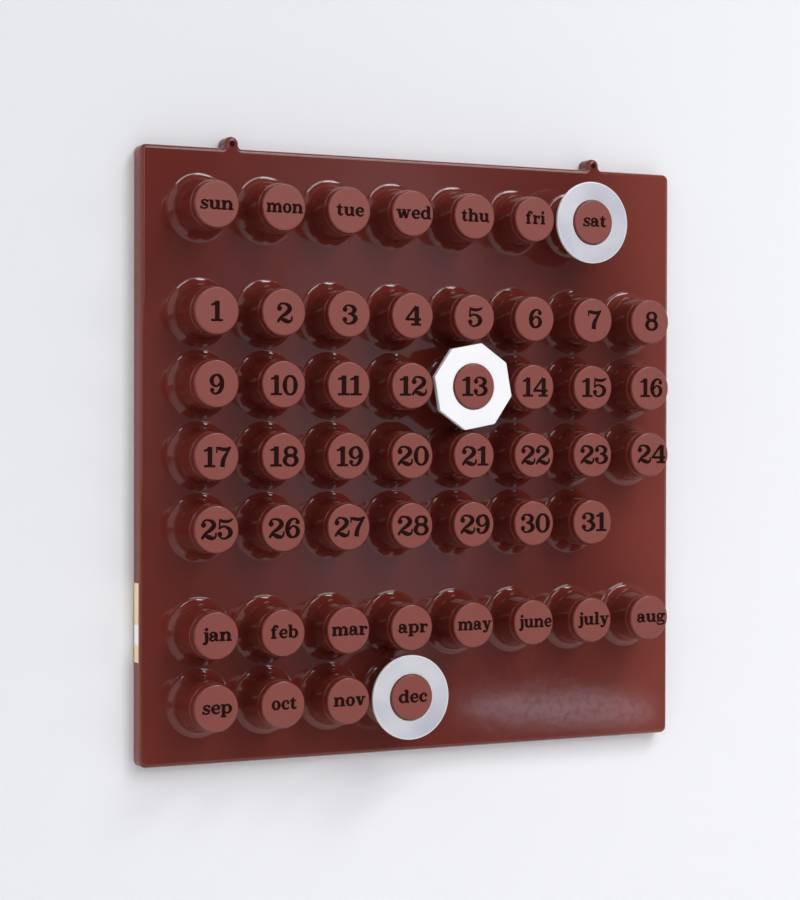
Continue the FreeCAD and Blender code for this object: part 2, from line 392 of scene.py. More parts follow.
def trayOutline():
    # a chain of points, run from the middle of the top side to the left and all the way round
    m = mouldingLook
    letGo()
    bpy.ops.mesh.primitive_plane_add(size=mm, location=(0, 0, 0))
    tray = bpy.context.object
    bpy.ops.object.mode_set(mode="EDIT")
    bpy.ops.mesh.select_mode(type="VERT")
    bpy.ops.mesh.select_all(action="SELECT")
    bpy.ops.mesh.merge(type="CENTER")
    bpy.ops.transform.translate(value=(0, 0, m["top"] * mm))
    here = [0.0, m["top"]]

    def runTo(x, z):
        bpy.ops.mesh.extrude_vertices_move(
            TRANSFORM_OT_translate={"value": ((x - here[0]) * mm, 0, (z - here[1]) * mm)})
        here[:] = [x, z]

    def swing(cx, cz, degrees, steps):
        angle = math.radians(degrees)
        bpy.ops.mesh.spin(steps=steps, angle=angle, center=(cx * mm, 0, cz * mm),
                          axis=(0, 1, 0), use_auto_merge=False)
        dx = here[0] - cx
        dz = here[1] - cz
        here[:] = [cx + dx * math.cos(angle) - dz * math.sin(angle),
                   cz + dx * math.sin(angle) + dz * math.cos(angle)]

    def ear(side):
        x, foot, lean = earShape(side)
        runTo(x + foot, m["top"])
        swing(x + foot, m["top"] + m["earRoot"], -90 - lean, m["rootSteps"])
        swing(x, 0, 180 + 2 * lean, m["earSteps"])
        swing(x - foot, m["top"] + m["earRoot"], -90 - lean, m["rootSteps"])

    half = m["halfWidth"]
    turn = m["corner"]
    steps = m["cornerSteps"]
    ear(-1)
    runTo(turn - half, m["top"])
    swing(turn - half, m["top"] - turn, 90, steps)
    runTo(-half, m["bottom"] + turn)
    swing(turn - half, m["bottom"] + turn, 90, steps)
    runTo(half - turn, m["bottom"])
    swing(half - turn, m["bottom"] + turn, 90, steps)
    runTo(half, m["top"] - turn)
    swing(half - turn, m["top"] - turn, 90, steps)
    ear(1)
    bpy.ops.mesh.select_all(action="SELECT")
    bpy.ops.mesh.remove_doubles(threshold=near["point"])
    bpy.ops.mesh.select_all(action="SELECT")
    bpy.ops.mesh.select_mode(type="EDGE")
    bpy.ops.mesh.edge_face_add()
    endEdit()
    return tray


def makeMoulding():
    m = mouldingLook
    tray = trayOutline()
    startEdit(tray, "FACE")
    bpy.ops.mesh.select_all(action="SELECT")
    bpy.ops.mesh.extrude_region_move(TRANSFORM_OT_translate={"value": (0, m["depth"] * mm, 0)})
    pick("faces", lambda f: abs(middle(f).y - m["depth"] * mm) < near["level"])
    bpy.ops.mesh.delete(type="FACE")
    bpy.ops.mesh.select_all(action="SELECT")
    bpy.ops.mesh.normals_make_consistent(inside=False)
    bpy.ops.mesh.select_mode(type="EDGE")
    pick("edges", lambda e: all(abs(v.co.y) < near["point"] for v in e.verts))
    bpy.ops.mesh.bevel(offset=m["front"] * mm, segments=m["frontSteps"], affect="EDGES",
                       clamp_overlap=False)
    bpy.ops.mesh.select_mode(type="FACE")
    pick("faces", lambda f: f.normal.y < -squarely and len(f.verts) > m["manySides"])
    bpy.ops.mesh.inset(thickness=m["frontInset"] * mm, use_even_offset=True)
    endEdit()
    takeUp(tray)
    wall = tray.modifiers.new("wall", "SOLIDIFY")
    wall.thickness = m["sheet"] * mm
    wall.offset = -1
    wall.use_even_offset = True
    wall.use_rim = True
    bpy.ops.object.modifier_apply(modifier="wall")
    startEdit(tray, "FACE")
    pick("faces", lambda f: abs(f.normal.y) > squarely and len(f.verts) > m["manySides"])
    bpy.ops.mesh.delete(type="FACE")
    endEdit()
    print("stage: tray wall made")

    places = (pegPlaces(m["weekdayRow"], m["weekdays"]) + pegPlaces(m["dateRow"], m["dates"])
              + pegPlaces(m["monthRow"], m["months"]))
    outer = pegTile("pegOutside", outerRings(), 0)
    inner = pegTile("pegInside", innerRings(), m["sheet"])
    skins = [tray]
    for across, up in places:
        skins.append(copyTo(outer, across * mm, up * mm))
        skins.append(copyTo(inner, across * mm, up * mm))
    for spare in (outer, inner):
        bpy.data.objects.remove(spare)
    for side in (-1, 1):
        hole = turned("hangingHole", [(m["holeRadius"], 0), (m["holeRadius"], m["sheet"])],
                      m["holeCorners"])
        skins.append(copyTo(hole, side * m["earAt"] * mm, 0))
        bpy.data.objects.remove(hole)
    moulding = joinAll(skins, "moulded_panel")
    startEdit(moulding, "VERT")
    bpy.ops.mesh.select_all(action="SELECT")
    bpy.ops.mesh.remove_doubles(threshold=near["seam"])
    bpy.ops.mesh.select_mode(type="EDGE")
    for depth in (0, m["sheet"] * mm):
        pick("edges", openEdgeAt(depth))
        bpy.ops.mesh.fill(use_beauty=True)
    bpy.ops.mesh.select_all(action="SELECT")
    bpy.ops.mesh.normals_make_consistent(inside=False)
    endEdit()
    takeUp(moulding)
    bpy.ops.object.shade_smooth_by_angle(angle=smoothUnder)
    return moulding


# in every finish, tones are screen colours and a pattern is (scale, detail)
plasticLook = {
    "tones": ((101, 37, 30), (108, 42, 34)), "clouds": (9, 3), "paintedLightTone": (128, 60, 50),
    "paintedLightFrom": 120, "paintedLightTo": 195, "paintedLightShare": 0.8, "paintedSheenFrom": -197.5, "paintedSheenTo": -199.2,
    "faceTones": ((125, 59, 51), (138, 70, 62)), "grain": (2600, 2), "faceFrom": 31.25, "faceTo": 31.42,
    "rough": 0.065, "faceRough": 0.435, "smears": (220, 3), "smearFrom": 0.45, "smearTo": 0.75,
    "smearRough": 0.04, "ior": 1.46,
    "waves": (28, 2), "waveHeight": 0.9, "ripples": (190, 2), "rippleHeight": 0.12,
    "grainHeight": 0.2, "bump": 0.12, "bumpDepth": 0.5,
}


def mouldingFinish():
    # glossy, with matt peg faces; its paler tone towards the right is painted light, and its paler left
    # side is a painted sheen
    k = plasticLook
    finish = Finish("mouldedPlastic")
    x = finish.axis("X")
    face = finish.ranged(finish.axis("Y"), -k["faceFrom"] * mm, -k["faceTo"] * mm)
    grain = finish.noise(*k["grain"])
    # painted light: the tray grows paler towards its right end
    right = finish.ranged(x, k["paintedLightFrom"] * mm, k["paintedLightTo"] * mm)
    # painted sheen: the tray's left side wall is paler
    left = finish.ranged(x, k["paintedSheenFrom"] * mm, k["paintedSheenTo"] * mm)
    tone = finish.between(finish.clouds(*k["clouds"]), k["tones"])
    # mixes in the paler tone of the painted light and the painted sheen
    tone = finish.mixed(right * k["paintedLightShare"] + left, tone, solid(*k["paintedLightTone"]))
    colour = finish.mixed(face, tone, finish.between(grain, k["faceTones"]))
    smear = finish.clouds(*k["smears"], k["smearFrom"], k["smearTo"])
    rough = k["rough"] + face * k["faceRough"] + smear * k["smearRough"]
    height = (finish.noise(*k["waves"]) * k["waveHeight"]
              + finish.noise(*k["ripples"]) * k["rippleHeight"]
              + grain * face * k["grainHeight"])
    return finish.close({"Base Color": colour, "Roughness": rough, "IOR": k["ior"],
                         "Normal": finish.bump(height, k["bump"], k["bumpDepth"] * mm)})


moulding = makeMoulding()
dress(moulding, mouldingFinish())
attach(moulding, "board")
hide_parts("panel_tray", "weekday_pegs", "date_pegs", "month_pegs")
print("stage: moulding made,", len(moulding.data.polygons), "faces")


# the prints: slab-serif numerals and small letters, drawn as pen strokes of changing width
# a line is straight runs, a bend a smooth stroke and a loop a closed one, with each of their
# points as (x, y, width) in mm; a ball is (x, y, radius)

numeralStrokes = {
    "0": [("loop", (5.65, 12.45, 1.3), (9.6, 6.5, 3.3), (5.65, 0.55, 1.3), (1.7, 6.5, 3.3))],
    "1": [("line", (4.5, 0.5, 4.6), (4.5, 1.7, 3.2), (4.5, 12.95, 3.2)),
          ("line", (0.3, 0.7, 1.4), (8.4, 0.7, 1.4)),
          ("bend", (0.3, 10.35, 1.2), (2.4, 11.0, 1.6), (4.4, 12.3, 1.3))],
    "2": [("ball", (2.15, 9.35, 1.75)),
          ("bend", (1.3, 9.6, 1.4), (2.4, 11.7, 1.3), (5.4, 12.45, 1.3), (9.3, 9.5, 3.2),
           (7.0, 6.3, 2.6), (3.4, 3.9, 1.6), (1.1, 0.9, 1.7)),
          ("bend", (0.9, 0.4, 1.3), (3.0, 2.5, 1.9), (6.2, 1.5, 3.0), (8.7, 0.9, 2.2), (10.3, 1.7, 1.5),
           (10.9, 4.4, 1.0))],
    "3": [("ball", (2.2, 9.8, 1.65)),
          ("bend", (1.4, 10.2, 1.2), (2.8, 11.9, 1.2), (5.2, 12.45, 1.2), (8.8, 9.8, 3.1),
           (6.6, 7.2, 1.8), (4.4, 6.9, 1.2)),
          ("bend", (4.4, 7.0, 1.2), (6.8, 6.7, 1.8), (9.4, 3.8, 3.3), (5.4, 0.6, 1.3), (2.8, 1.1, 1.2),
           (1.3, 2.8, 1.2)),
          ("ball", (2.1, 3.2, 1.65))],
    "4": [("line", (8.5, 0.5, 4.4), (8.5, 1.6, 3.2), (8.5, 12.6, 3.2)),
          ("line", (8.1, 12.9, 1.6), (1.0, 4.2, 1.6)), ("line", (0.3, 4.1, 1.6), (11.6, 4.1, 1.6)),
          ("line", (4.4, 0.7, 1.4), (11.7, 0.7, 1.4))],
    "5": [("bend", (1.9, 12.9, 0.9), (3.2, 11.9, 1.9), (6.3, 11.4, 2.1), (9.2, 11.9, 1.7),
           (11.1, 13.0, 0.9)),
          ("line", (2.1, 12.6, 1.2), (1.8, 6.4, 1.2)),
          ("bend", (1.8, 6.7, 1.0), (3.4, 7.9, 1.3), (5.8, 8.1, 1.5), (9.5, 4.4, 3.3), (5.6, 0.6, 1.3),
           (2.9, 1.1, 1.2), (1.3, 2.8, 1.2)),
          ("ball", (2.1, 3.3, 1.65))],
    "6": [("bend", (9.6, 10.6, 1.2), (8.4, 12.0, 1.2), (6.2, 12.45, 1.3), (3.2, 10.6, 2.6),
           (1.9, 6.3, 3.3), (3.0, 2.0, 2.6), (5.7, 0.6, 1.3), (9.2, 4.2, 3.1), (6.1, 7.8, 1.3),
           (3.0, 5.6, 1.2)),
          ("ball", (8.9, 10.3, 1.5))],
    "7": [("line", (0.9, 13.0, 1.0), (1.1, 9.2, 1.0)),
          ("bend", (0.8, 12.2, 1.0), (2.8, 11.9, 2.2), (6.4, 11.3, 2.3), (9.2, 11.9, 1.8),
           (11.0, 13.0, 0.9)),
          ("bend", (10.7, 12.6, 1.1), (7.6, 8.2, 2.2), (5.6, 4.2, 3.0), (5.0, 0.1, 3.4))],
    "8": [("loop", (5.65, 12.45, 1.3), (9.1, 9.7, 2.7), (5.65, 6.9, 1.6), (2.2, 9.7, 2.7)),
          ("loop", (5.65, 7.2, 1.8), (9.7, 3.8, 3.1), (5.65, 0.55, 1.3), (1.6, 3.8, 3.1))],
    "9": [("bend", (0.9, 2.4, 1.2), (2.1, 1.0, 1.2), (4.3, 0.55, 1.3), (7.3, 2.4, 2.6), (8.6, 6.7, 3.3),
           (7.5, 11.0, 2.6), (4.8, 12.4, 1.3), (1.3, 8.8, 3.1), (4.4, 5.2, 1.3), (7.5, 7.4, 1.2)),
          ("ball", (1.6, 2.7, 1.5))],
}

letterStrokes = {
    "a": [("ball", (1.5, 4.35, 0.95)),
          ("bend", (1.0, 4.6, 0.7), (1.7, 5.5, 0.8), (3.2, 5.8, 0.9), (5.0, 4.4, 2.0), (5.0, 1.6, 2.0),
           (5.7, 0.6, 1.1), (7.0, 0.9, 0.6)),
          ("bend", (5.0, 3.6, 0.8), (3.2, 3.35, 1.1), (1.15, 1.75, 1.5), (2.5, 0.45, 1.0),
           (4.6, 1.5, 0.8))],
    "b": [("line", (1.9, 0.3, 2.1), (1.9, 8.7, 2.1)), ("line", (0.1, 8.4, 0.8), (2.3, 8.4, 0.8)),
          ("bend", (2.4, 4.5, 0.8), (4.3, 5.7, 1.0), (6.4, 3.05, 2.1), (4.3, 0.4, 1.0), (2.4, 1.5, 0.8))],
    "c": [("ball", (4.9, 4.35, 0.95)),
          ("bend", (5.4, 4.6, 0.7), (4.7, 5.5, 0.8), (3.2, 5.75, 0.9), (1.1, 3.05, 2.1),
           (3.3, 0.4, 1.1), (5.7, 1.5, 0.6))],
    "d": [("line", (5.9, 0.3, 2.1), (5.9, 8.7, 2.1)), ("line", (4.1, 8.4, 0.8), (6.3, 8.4, 0.8)),
          ("line", (5.6, 0.45, 0.9), (7.8, 0.45, 0.9)),
          ("bend", (5.4, 4.5, 0.8), (3.4, 5.7, 1.0), (1.1, 3.05, 2.1), (3.4, 0.4, 1.0), (5.4, 1.5, 0.8))],
    "e": [("line", (1.6, 3.1, 0.8), (5.9, 3.1, 0.8)),
          ("bend", (5.5, 3.1, 1.3), (5.0, 4.8, 1.6), (3.25, 5.75, 0.85), (1.1, 3.05, 2.1),
           (3.4, 0.4, 1.1), (6.0, 1.5, 0.6))],
    "f": [("bend", (2.2, 0.3, 2.1), (2.2, 3.2, 2.1), (2.2, 6.4, 2.1), (3.5, 8.35, 1.0), (5.2, 8.0, 0.8)),
          ("ball", (4.8, 7.55, 0.95)), ("line", (0.1, 5.6, 0.85), (4.5, 5.6, 0.85)),
          ("line", (0.1, 0.45, 0.9), (4.4, 0.45, 0.9))],
    "g": [("loop", (3.1, 5.75, 0.8), (4.9, 4.1, 1.6), (3.1, 2.45, 0.8), (1.3, 4.1, 1.6)),
          ("bend", (1.9, 2.7, 0.6), (1.0, 1.9, 0.6), (1.9, 1.0, 1.1), (4.6, 0.85, 1.5),
           (6.35, -0.4, 1.1), (3.7, -1.85, 0.8), (0.85, -0.7, 0.85), (2.0, 0.6, 0.7)),
          ("bend", (4.2, 4.8, 0.7), (5.4, 5.7, 0.7), (6.5, 5.5, 0.8)), ("ball", (6.4, 5.2, 0.8))],
    "h": [("line", (2.0, 0.3, 2.1), (2.0, 8.7, 2.1)), ("line", (0.1, 8.4, 0.8), (2.3, 8.4, 0.8)),
          ("line", (0.1, 0.45, 0.9), (3.95, 0.45, 0.9)),
          ("bend", (2.6, 4.2, 0.8), (4.7, 5.6, 1.2), (6.4, 4.2, 2.0), (6.45, 2.0, 2.1),
           (6.45, 0.3, 2.1)),
          ("line", (4.6, 0.45, 0.9), (8.4, 0.45, 0.9))],
    "i": [("line", (2.1, 0.3, 2.1), (2.1, 6.0, 2.1)), ("line", (0.2, 5.6, 0.9), (2.5, 5.6, 0.9)),
          ("line", (0.1, 0.45, 0.9), (4.1, 0.45, 0.9)), ("ball", (2.0, 7.9, 1.15))],
    "j": [("bend", (2.7, 6.0, 2.1), (2.7, 3.0, 2.1), (2.7, 0.2, 2.1), (2.15, -1.3, 1.3),
           (0.6, -1.7, 0.7)),
          ("line", (0.8, 5.6, 0.9), (3.0, 5.6, 0.9)), ("ball", (0.85, -1.2, 0.85)),
          ("ball", (2.6, 7.9, 1.15))],
    "l": [("line", (2.1, 0.3, 2.1), (2.1, 8.7, 2.1)), ("line", (0.2, 8.4, 0.8), (2.4, 8.4, 0.8)),
          ("line", (0.1, 0.45, 0.9), (4.1, 0.45, 0.9))],
    "m": [("line", (1.9, 0.3, 2.1), (1.9, 6.0, 2.1)), ("line", (0.1, 5.6, 0.9), (2.2, 5.6, 0.9)),
          ("line", (0.1, 0.45, 0.9), (3.7, 0.45, 0.9)),
          ("bend", (2.4, 4.2, 0.8), (4.3, 5.6, 1.2), (5.95, 4.2, 2.0), (6.0, 2.0, 2.1), (6.0, 0.3, 2.1)),
          ("line", (4.2, 0.45, 0.9), (7.8, 0.45, 0.9)),
          ("bend", (6.5, 4.2, 0.8), (8.4, 5.6, 1.2), (10.05, 4.2, 2.0), (10.1, 2.0, 2.1),
           (10.1, 0.3, 2.1)),
          ("line", (8.3, 0.45, 0.9), (11.9, 0.45, 0.9))],
    "n": [("line", (2.0, 0.3, 2.1), (2.0, 6.0, 2.1)), ("line", (0.1, 5.6, 0.9), (2.3, 5.6, 0.9)),
          ("line", (0.1, 0.45, 0.9), (3.95, 0.45, 0.9)),
          ("bend", (2.6, 4.2, 0.8), (4.7, 5.6, 1.2), (6.4, 4.2, 2.0), (6.45, 2.0, 2.1),
           (6.45, 0.3, 2.1)),
          ("line", (4.6, 0.45, 0.9), (8.4, 0.45, 0.9))],
    "o": [("loop", (3.3, 5.75, 0.85), (5.5, 3.05, 2.1), (3.3, 0.35, 0.85), (1.1, 3.05, 2.1))],
    "p": [("line", (2.0, -2.0, 2.1), (2.0, 6.0, 2.1)), ("line", (0.1, 5.6, 0.9), (2.3, 5.6, 0.9)),
          ("line", (0.1, -1.85, 0.9), (4.0, -1.85, 0.9)),
          ("bend", (2.5, 4.5, 0.8), (4.6, 5.7, 1.0), (6.7, 3.05, 2.1), (4.6, 0.4, 1.0), (2.5, 1.5, 0.8))],
    "r": [("line", (2.0, 0.3, 2.1), (2.0, 6.0, 2.1)), ("line", (0.1, 5.6, 0.9), (2.3, 5.6, 0.9)),
          ("line", (0.1, 0.45, 0.9), (4.2, 0.45, 0.9)),
          ("bend", (2.6, 3.6, 0.8), (3.6, 5.1, 0.9), (5.4, 5.5, 0.9)), ("ball", (5.2, 4.8, 1.0))],
    "s": [("bend", (4.5, 4.7, 0.7), (3.9, 5.55, 0.8), (2.8, 5.75, 0.9), (1.05, 4.4, 1.1),
           (2.9, 3.05, 1.9), (4.75, 1.75, 0.9), (2.8, 0.4, 0.9), (1.55, 0.6, 0.8), (0.95, 1.4, 0.7)),
          ("line", (4.9, 6.05, 0.8), (4.9, 4.05, 0.8)), ("line", (0.5, 0.05, 0.8), (0.5, 2.05, 0.8))],
    "t": [("bend", (2.6, 7.8, 0.5), (2.35, 5.9, 1.9), (2.3, 3.6, 2.1), (2.35, 1.5, 2.1),
           (3.4, 0.45, 1.1), (5.0, 1.3, 0.6)),
          ("line", (0.2, 5.6, 0.85), (4.6, 5.6, 0.85))],
    "u": [("bend", (2.0, 6.0, 2.1), (2.0, 4.0, 2.1), (2.05, 1.9, 2.1), (3.6, 0.5, 1.1), (5.8, 1.7, 0.8)),
          ("line", (0.1, 5.6, 0.9), (2.4, 5.6, 0.9)), ("line", (6.2, 0.2, 2.1), (6.2, 6.0, 2.1)),
          ("line", (4.3, 5.6, 0.9), (6.6, 5.6, 0.9)), ("line", (6.0, 0.45, 0.9), (8.2, 0.45, 0.9))],
    "v": [("line", (1.9, 5.9, 2.2), (4.0, 0.1, 2.0)), ("line", (6.0, 5.9, 0.9), (4.1, 0.1, 1.0)),
          ("line", (0.1, 5.6, 0.9), (3.7, 5.6, 0.9)), ("line", (4.6, 5.6, 0.9), (7.5, 5.6, 0.9))],
    "w": [("line", (1.8, 5.9, 2.1), (3.6, 0.1, 2.0)), ("line", (5.6, 5.9, 0.9), (3.9, 0.1, 1.0)),
          ("line", (5.5, 5.9, 2.1), (7.3, 0.1, 2.0)), ("line", (9.3, 5.9, 0.9), (7.6, 0.1, 1.0)),
          ("line", (0.1, 5.6, 0.9), (3.5, 5.6, 0.9)), ("line", (4.3, 5.6, 0.9), (6.9, 5.6, 0.9)),
          ("line", (7.9, 5.6, 0.9), (10.8, 5.6, 0.9))],
    "y": [("line", (1.9, 5.9, 2.2), (4.1, 0.3, 2.0)),
          ("bend", (6.1, 5.9, 0.9), (4.6, 1.6, 1.0), (3.4, -1.0, 1.0), (1.6, -1.8, 0.8)),
          ("ball", (1.6, -1.2, 0.95)), ("line", (0.1, 5.6, 0.9), (3.7, 5.6, 0.9)),
          ("line", (4.7, 5.6, 0.9), (7.6, 5.6, 0.9))],
}

printLook = {
    "film": 0.055, "sink": 0.02, "gap": 0.3, "letterHeight": 0.98,
    "letterWeight": 0.3, "numeralWeight": 0.1, "ballShare": 0.25,
    "steps": 7, "ballCorners": 20, "weld": 0.001, "sliver": 0.004,
}

# each print's middle, width and baseline on its peg, in mm, as they were stamped
printPlaces = {
    "sun": (-0.1, 22.5, -3.5), "mon": (0.4, 25.5, -3.6), "tue": (0.5, 19.7, -3.7),
    "wed": (0.5, 25.7, -3.5), "thu": (0.4, 21.1, -3.5), "fri": (0.4, 15.1, -3.2),
    "sat": (0.9, 18.5, -3.1),
    "1": (0.0, 8.1, -6.8), "2": (0.5, 11.1, -6.9), "3": (0.5, 11.0, -6.9), "4": (0.3, 11.6, -6.6),
    "5": (0.5, 11.1, -6.5), "6": (0.6, 10.4, -6.4), "7": (1.1, 10.9, -6.2), "8": (1.2, 10.8, -6.1),
    "9": (0.0, 10.1, -6.9), "10": (0.2, 19.2, -7.1), "11": (0.4, 17.5, -6.8), "12": (0.5, 20.3, -6.7),
    "13": (0.4, 19.5, -6.5), "14": (0.5, 19.5, -6.6), "15": (1.1, 19.7, -6.5), "16": (1.2, 18.3, -6.2),
    "17": (0.5, 18.7, -6.8), "18": (0.4, 20.1, -6.6), "19": (0.6, 19.1, -6.7), "20": (0.6, 23.4, -6.6),
    "21": (0.7, 20.2, -6.9), "22": (1.0, 22.5, -6.5), "23": (1.2, 22.3, -6.4), "24": (1.6, 23.0, -6.1),
    "25": (0.3, 22.0, -6.4), "26": (0.5, 22.2, -6.5), "27": (0.6, 22.0, -6.5), "28": (0.7, 23.2, -6.5),
    "29": (0.8, 22.4, -6.4), "30": (1.1, 23.0, -6.5), "31": (1.3, 19.9, -6.4),
    "jan": (0.5, 19.9, -3.5), "feb": (0.7, 19.2, -3.4), "mar": (0.8, 25.7, -3.4),
    "apr": (0.8, 22.0, -3.5), "may": (0.9, 25.5, -3.4), "june": (1.2, 25.6, -3.4),
    "july": (1.2, 24.8, -3.3), "aug": (1.7, 23.3, -3.2), "sep": (0.6, 20.4, -3.4),
    "oct": (0.5, 17.7, -3.1), "nov": (0.8, 22.9, -3.2), "dec": (0.7, 21.2, -3.4),
}


def drawSign(strokes, weight):
    # draws one sign lying flat, with its mm as Blender's units, joins its strokes to one film,
    # then stands it up at its real size; weight makes every stroke that much wider
    letGo()
    bpy.ops.curve.primitive_bezier_curve_add(location=(0, 0, 0))
    drawing = bpy.context.object
    drawing.name = "stamp"
    pen = drawing.data
    pen.splines.clear()
    pen.dimensions = "3D"
    pen.twist_mode = "Z_UP"
    pen.extrude = 0.5  # half each way, so a point's radius is the stroke's width there
    balls = []
    for kind, *points in strokes:
        if kind == "ball":
            balls.append(points[0])
            continue
        stroke = pen.splines.new("BEZIER")
        stroke.bezier_points.add(len(points) - 1)
        stroke.use_cyclic_u = kind == "loop"
        stroke.resolution_u = 1 if kind == "line" else printLook["steps"]
        for point, (x, y, width) in zip(stroke.bezier_points, points):
            point.co = (x, y, 0)
            point.radius = width + weight
            point.tilt = math.pi / 2
            point.handle_left_type = "VECTOR" if kind == "line" else "AUTO"
            point.handle_right_type = point.handle_left_type
    bpy.ops.object.convert(target="MESH")
    drawing = bpy.context.object
    film = drawing.modifiers.new("film", "SOLIDIFY")
    film.thickness = printLook["film"] + printLook["sink"]
    film.offset = 0
    bpy.ops.object.modifier_apply(modifier="film")
    parts = [drawing]
    for x, y, radius in balls:
        letGo()
        bpy.ops.mesh.primitive_cylinder_add(vertices=printLook["ballCorners"],
                                            radius=radius + weight * printLook["ballShare"],
                                            depth=printLook["film"] + printLook["sink"],
                                            location=(x, y, 0))
        parts.append(bpy.context.object)
    sign = joinAll(parts, "stamp")
    startEdit(sign, "FACE")
    bpy.ops.mesh.select_all(action="SELECT")
    bpy.ops.mesh.remove_doubles(threshold=printLook["weld"])
    bpy.ops.mesh.normals_make_consistent(inside=False)
    bpy.ops.mesh.intersect_boolean(operation="UNION", use_self=True, solver="EXACT")
    bpy.ops.mesh.select_all(action="SELECT")
    bpy.ops.mesh.dissolve_degenerate(threshold=printLook["sliver"])
    endEdit()
    sign.rotation_euler = (math.pi / 2, 0, 0)
    sign.scale = (mm, mm, mm)
    settle(sign)
    return sign


def setWord(text, peg, signs, height):
    # sets the word's signs side by side on the peg's face, fitted to the width of the print
    centre, width, foot = printPlaces[text]
    boxes = [[corner[0] / mm for corner in signs[letter].bound_box] for letter in text]
    gap = printLook["gap"]
    natural = sum(max(box) - min(box) for box in boxes) + gap * (len(text) - 1)
    fit = width / natural
    pen = peg[0] + centre - width / 2
    placed = []
    for letter, box in zip(text, boxes):
        sign = copyTo(signs[letter], (pen - min(box) * fit) * mm, (peg[1] + foot) * mm)
        sign.location.y = -(pegLook["height"] + (printLook["film"] - printLook["sink"]) / 2) * mm
        sign.scale = (fit, 1, height)
        pen += (max(box) - min(box) + gap) * fit
        placed.append(sign)
    return placed


inkLook = {
    "tones": ((32, 8, 6), (46, 16, 13)), "wear": (700, 3), "wornFrom": 0.45, "wornTo": 0.75,
    "rough": 0.5, "wornRough": 0.15, "shine": 0.06, "bump": 0.1, "bumpDepth": 0.1,
}


def inkFinish():
    k = inkLook
    finish = Finish("stampedInk")
    worn = finish.noise(*k["wear"])
    colour = finish.between(finish.ranged(worn, k["wornFrom"], k["wornTo"]), k["tones"])
    return finish.close({"Base Color": colour, "Roughness": k["rough"] + worn * k["wornRough"],
                         "Specular IOR Level": k["shine"],
                         "Normal": finish.bump(worn, k["bump"], k["bumpDepth"] * mm)})


def makePrints():
    signs = {letter: drawSign(strokes, printLook["numeralWeight"])
             for letter, strokes in numeralStrokes.items()}
    signs.update({letter: drawSign(strokes, printLook["letterWeight"])
                  for letter, strokes in letterStrokes.items()})
    ink = inkFinish()
    m = mouldingLook
    groups = (("weekday_prints", "sun mon tue wed thu fri sat".split(),
               pegPlaces(m["weekdayRow"], m["weekdays"]), printLook["letterHeight"]),
              ("date_prints", [str(day) for day in range(1, 32)],
               pegPlaces(m["dateRow"], m["dates"]), 1),
              ("month_prints", "jan feb mar apr may june july aug sep oct nov dec".split(),
               pegPlaces(m["monthRow"], m["months"]), printLook["letterHeight"]))
    for name, words, pegs, height in groups:
        placed = []
        for text, peg in zip(words, pegs):
            placed += setWord(text, peg, signs, height)
        prints = joinAll(placed, name)
        dress(prints, ink)
        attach(prints, "board")
        print("stage:", name, len(prints.data.polygons), "faces")
    for sign in signs.values():
        bpy.data.objects.remove(sign)


makePrints()


# the marker rings; each hangs on its peg, named by column and row from 0

ringLook = {
    "weekdayPeg": (6, 0), "datePeg": (4, 1), "monthPeg": (3, 1),
    "bore": 15.52, "front": -30.3, "back": -26.1, "drop": 0.2,
    "outside": 28, "corners": 96, "backTurn": 2.8, "backSteps": 5, "softEdge": 0.5, "softSteps": 3,
    "flatInset": 0.1,
    "octagon": 29.8, "sides": 8, "octagonTurn": 12, "octagonCorner": 1.5, "cornerSteps": 4,
    "boreCorners": 72, "octagonEdge": 0.35, "edgeSteps": 3, "faceInset": 0.08, "sharpFrom": 60,
}


def makeRoundRing(name, across, up):
    # the profile starts at the back's outer edge and goes round by the front and the bore
    r = ringLook
    soft = r["softEdge"]
    thin = r["backTurn"]
    outside = r["outside"]
    bore = r["bore"]
    front = r["front"]
    back = r["back"]
    inset = r["flatInset"]
    steps = r["softSteps"]
    rings = roundTurn((outside - thin, back - thin), thin, 90, 0, r["backSteps"])
    rings += roundTurn((outside - soft, front + soft), soft, 0, -90, steps)
    rings += [(outside - soft - inset, front), (bore + soft + inset, front)]
    rings += roundTurn((bore + soft, front + soft), soft, -90, -180, steps)
    rings += roundTurn((bore + soft, back - soft), soft, 180, 90, steps)
    rings += [(bore + soft + inset, back), (outside - thin - inset, back), rings[0]]
    ring = turned(name, rings, r["corners"])
    startEdit(ring, "VERT")
    bpy.ops.mesh.select_all(action="SELECT")
    bpy.ops.mesh.remove_doubles(threshold=near["point"])
    bpy.ops.mesh.normals_make_consistent(inside=False)
    bpy.ops.transform.translate(value=(across * mm, 0, (up - r["drop"]) * mm))
    endEdit()
    takeUp(ring)
    bpy.ops.object.shade_smooth_by_angle(angle=smoothUnder)
    return ring


